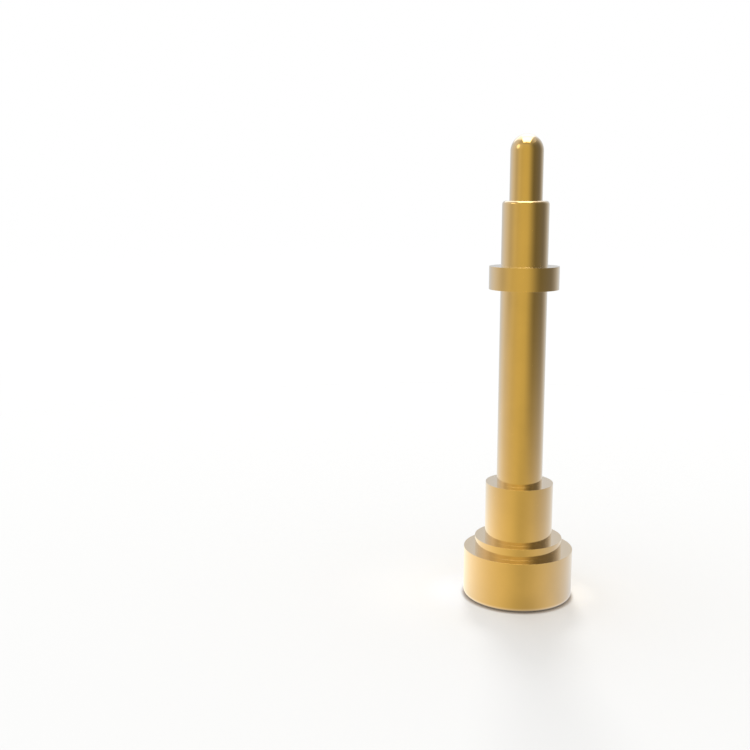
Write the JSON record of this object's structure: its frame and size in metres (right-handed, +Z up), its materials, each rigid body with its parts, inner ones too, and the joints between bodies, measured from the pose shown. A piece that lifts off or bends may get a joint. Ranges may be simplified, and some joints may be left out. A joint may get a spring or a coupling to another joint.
{
  "type": "pogo pin",
  "caption": "Upright spring-loaded contact pin: a gold-plated turned barrel with a wide foot, a collar and a stop flange, and a domed plunger that springs out of its nose.",
  "frame": {"origin": "middle of the flat under the foot, on the surface that the pin stands on", "axes": "+Z up along the pin's axis, towards the plunger's tip; the pin is round, so +X and +Y are free, and the plunger's slanted tail is lowest on the -X side"},
  "size_m": [0.0036, 0.0036, 0.0152],
  "materials": {
    "barrel_gold": "gold plate over turned brass, satin to bright",
    "plunger_gold": "bright gold plate",
    "spring_wire": "gold flash over spring steel wire"
  },
  "bodies": {
    "barrel": {"barrel": "barrel_gold", "spring": "spring_wire"},
    "plunger": {"plunger": "plunger_gold"}
  },
  "joints": [
    {"name": "plunger_slide", "type": "slide", "parent": "barrel", "child": "plunger", "axis": [0, 0, -1], "range_m": [0, 0.0015], "stiffness_N_per_m": 713, "deforming": ["spring"]}
  ]
}
